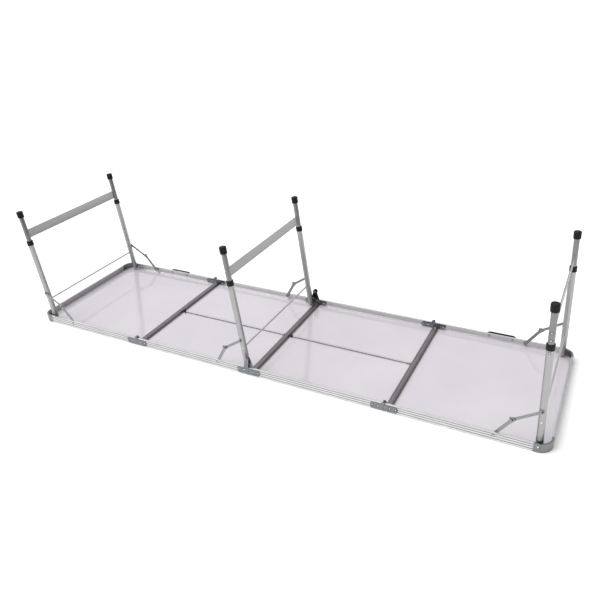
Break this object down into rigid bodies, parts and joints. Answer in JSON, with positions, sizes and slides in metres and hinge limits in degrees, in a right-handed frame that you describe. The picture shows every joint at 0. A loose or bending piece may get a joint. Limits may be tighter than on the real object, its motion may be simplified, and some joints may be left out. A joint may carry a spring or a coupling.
{
  "type": "folding table",
  "caption": "Long folding table in hinged aluminium-framed panels with folding telescopic legs, lying upside down on its top.",
  "frame": {"origin": "middle of the plane that the upturned table lies on, the rims of its rails, midway between its ends and its sides", "axes": "+X along the table towards the right-hand end panel, +Y across it towards the handles, +Z from the work surface up to the feet; turn it half a turn about X to stand it on its feet"},
  "size_m": [2.4107, 0.6756, 0.569],
  "materials": {
    "board": "smooth lacquered backing, semi-gloss",
    "rail": "satin anodised extrusion",
    "cross_bar": "satin dark grey",
    "rod": "drawn",
    "hinge_steel": "zinc-plated pressing",
    "leg_tube": "satin anodised tube",
    "brace": "zinc-plated strip",
    "handle": "moulded black",
    "collar": "moulded black",
    "foot": "moulded black"
  },
  "bodies": {
    "panel_2": {"top_board_2": "board", "side_rail_2_near": "rail", "side_rail_2_far": "rail", "cross_bar_left": "cross_bar", "stiffener_rod_2": "rod", "hinge_left_near_leaf_2": "hinge_steel", "hinge_left_far_leaf_2": "hinge_steel", "hinge_middle_near_leaf_1": "hinge_steel", "hinge_middle_far_leaf_1": "hinge_steel"},
    "panel_1": {"top_board_1": "board", "end_frame_left": "rail", "hinge_left_near_leaf_1": "hinge_steel", "hinge_left_far_leaf_1": "hinge_steel", "carry_handle_left": "handle"},
    "panel_3": {"top_board_3": "board", "side_rail_3_near": "rail", "side_rail_3_far": "rail", "cross_bar_middle": "cross_bar", "stiffener_rod_3": "rod", "hinge_middle_near_leaf_2": "hinge_steel", "hinge_middle_far_leaf_2": "hinge_steel", "hinge_right_near_leaf_1": "hinge_steel", "hinge_right_far_leaf_1": "hinge_steel"},
    "panel_4": {"top_board_4": "board", "end_frame_right": "rail", "cross_bar_right": "cross_bar", "hinge_right_near_leaf_2": "hinge_steel", "hinge_right_far_leaf_2": "hinge_steel", "carry_handle_right": "handle"},
    "leg_left": {"leg_tubes_left": "leg_tube", "leg_collar_left_near": "collar", "leg_collar_left_far": "collar"},
    "leg_left_extension": {"leg_extension_left": "leg_tube", "foot_cap_left_near": "foot", "foot_cap_left_far": "foot"},
    "brace_lower_left_near": {"brace_lower_left_near": "brace"},
    "brace_upper_left_near": {"brace_upper_left_near": "brace"},
    "brace_lower_left_far": {"brace_lower_left_far": "brace"},
    "brace_upper_left_far": {"brace_upper_left_far": "brace"},
    "leg_middle": {"leg_tubes_middle": "leg_tube", "leg_collar_middle_near": "collar", "leg_collar_middle_far": "collar"},
    "leg_middle_extension": {"leg_extension_middle": "leg_tube", "foot_cap_middle_near": "foot", "foot_cap_middle_far": "foot"},
    "brace_lower_middle_near": {"brace_lower_middle_near": "brace"},
    "brace_upper_middle_near": {"brace_upper_middle_near": "brace"},
    "brace_lower_middle_far": {"brace_lower_middle_far": "brace"},
    "brace_upper_middle_far": {"brace_upper_middle_far": "brace"},
    "leg_right": {"leg_tubes_right": "leg_tube", "leg_collar_right_near": "collar", "leg_collar_right_far": "collar"},
    "leg_right_extension": {"leg_extension_right": "leg_tube", "foot_cap_right_near": "foot", "foot_cap_right_far": "foot"},
    "brace_lower_right_near": {"brace_lower_right_near": "brace"},
    "brace_upper_right_near": {"brace_upper_right_near": "brace"},
    "brace_lower_right_far": {"brace_lower_right_far": "brace"},
    "brace_upper_right_far": {"brace_upper_right_far": "brace"}
  },
  "joints": [
    {"name": "fold_left", "type": "hinge", "parent": "panel_2", "child": "panel_1", "pos_m": [-0.6, 0, 0.039], "axis": [0, 1, 0], "range_deg": [0, 90]},
    {"name": "fold_middle", "type": "hinge", "parent": "panel_2", "child": "panel_3", "pos_m": [0, 0, 0.078], "axis": [0, -1, 0], "range_deg": [0, 90]},
    {"name": "fold_right", "type": "hinge", "parent": "panel_3", "child": "panel_4", "pos_m": [0.6, 0, 0.039], "axis": [0, -1, 0], "range_deg": [0, 90]},
    {"name": "leg_left_fold", "type": "hinge", "parent": "panel_1", "child": "leg_left", "pos_m": [-1.14, 0, 0.023], "axis": [0, 1, 0], "range_deg": [0, 94.5]},
    {"name": "leg_left_slide", "type": "slide", "parent": "leg_left", "child": "leg_left_extension", "axis": [0.1045, 0, -0.9945], "range_m": [-0.14, 0]},
    {"name": "brace_lower_left_near_pivot", "type": "hinge", "parent": "panel_1", "child": "brace_lower_left_near", "pos_m": [-0.999, 0, 0.023], "axis": [0, 1, 0], "range_deg": [0, 126.88]},
    {"name": "brace_upper_left_near_pivot", "type": "hinge", "parent": "leg_left", "child": "brace_upper_left_near", "pos_m": [-1.15369, 0, 0.15328], "axis": [0, 1, 0], "range_deg": [-124.21, 0]},
    {"name": "brace_lower_left_far_pivot", "type": "hinge", "parent": "panel_1", "child": "brace_lower_left_far", "pos_m": [-0.999, 0, 0.023], "axis": [0, 1, 0], "range_deg": [0, 126.88]},
    {"name": "brace_upper_left_far_pivot", "type": "hinge", "parent": "leg_left", "child": "brace_upper_left_far", "pos_m": [-1.15369, 0, 0.15328], "axis": [0, 1, 0], "range_deg": [-124.21, 0]},
    {"name": "leg_middle_fold", "type": "hinge", "parent": "panel_2", "child": "leg_middle", "pos_m": [-0.017, 0, 0.023], "axis": [0, -1, 0], "range_deg": [0, 83.2]},
    {"name": "leg_middle_slide", "type": "slide", "parent": "leg_middle", "child": "leg_middle_extension", "axis": [0.108, 0, -0.9942], "range_m": [-0.14, 0]},
    {"name": "brace_lower_middle_near_pivot", "type": "hinge", "parent": "panel_2", "child": "brace_lower_middle_near", "pos_m": [-0.158, 0, 0.023], "axis": [0, -1, 0], "range_deg": [0, 119.69]},
    {"name": "brace_upper_middle_near_pivot", "type": "hinge", "parent": "leg_middle", "child": "brace_upper_middle_near", "pos_m": [-0.03136, 0, 0.15522], "axis": [0, -1, 0], "range_deg": [-117.12, 0]},
    {"name": "brace_lower_middle_far_pivot", "type": "hinge", "parent": "panel_2", "child": "brace_lower_middle_far", "pos_m": [-0.158, 0, 0.023], "axis": [0, -1, 0], "range_deg": [0, 119.69]},
    {"name": "brace_upper_middle_far_pivot", "type": "hinge", "parent": "leg_middle", "child": "brace_upper_middle_far", "pos_m": [-0.03136, 0, 0.15522], "axis": [0, -1, 0], "range_deg": [-117.12, 0]},
    {"name": "leg_right_fold", "type": "hinge", "parent": "panel_4", "child": "leg_right", "pos_m": [1.156, 0, 0.023], "axis": [0, -1, 0], "range_deg": [0, 86.2]},
    {"name": "leg_right_slide", "type": "slide", "parent": "leg_right", "child": "leg_right_extension", "axis": [0.0401, 0, -0.9992], "range_m": [-0.14, 0]},
    {"name": "brace_lower_right_near_pivot", "type": "hinge", "parent": "panel_4", "child": "brace_lower_right_near", "pos_m": [1.005, 0, 0.023], "axis": [0, -1, 0], "range_deg": [0, 123.02]},
    {"name": "brace_upper_right_near_pivot", "type": "hinge", "parent": "leg_right", "child": "brace_upper_right_near", "pos_m": [1.15034, 0, 0.16389], "axis": [0, -1, 0], "range_deg": [-120.04, 0]},
    {"name": "brace_lower_right_far_pivot", "type": "hinge", "parent": "panel_4", "child": "brace_lower_right_far", "pos_m": [1.005, 0, 0.023], "axis": [0, -1, 0], "range_deg": [0, 123.02]},
    {"name": "brace_upper_right_far_pivot", "type": "hinge", "parent": "leg_right", "child": "brace_upper_right_far", "pos_m": [1.15034, 0, 0.16389], "axis": [0, -1, 0], "range_deg": [-120.04, 0]}
  ],
  "couplings": [
    {"joint": "brace_lower_left_near_pivot", "follows": "leg_left_fold", "ratio": 1.3374},
    {"joint": "brace_upper_left_near_pivot", "follows": "leg_left_fold", "ratio": -1.3091},
    {"joint": "brace_lower_left_far_pivot", "follows": "leg_left_fold", "ratio": 1.3374},
    {"joint": "brace_upper_left_far_pivot", "follows": "leg_left_fold", "ratio": -1.3091},
    {"joint": "brace_lower_middle_near_pivot", "follows": "leg_middle_fold", "ratio": 1.4326},
    {"joint": "brace_upper_middle_near_pivot", "follows": "leg_middle_fold", "ratio": -1.4017},
    {"joint": "brace_lower_middle_far_pivot", "follows": "leg_middle_fold", "ratio": 1.4326},
    {"joint": "brace_upper_middle_far_pivot", "follows": "leg_middle_fold", "ratio": -1.4017},
    {"joint": "brace_lower_right_near_pivot", "follows": "leg_right_fold", "ratio": 1.4213},
    {"joint": "brace_upper_right_near_pivot", "follows": "leg_right_fold", "ratio": -1.3868},
    {"joint": "brace_lower_right_far_pivot", "follows": "leg_right_fold", "ratio": 1.4213},
    {"joint": "brace_upper_right_far_pivot", "follows": "leg_right_fold", "ratio": -1.3868}
  ]
}
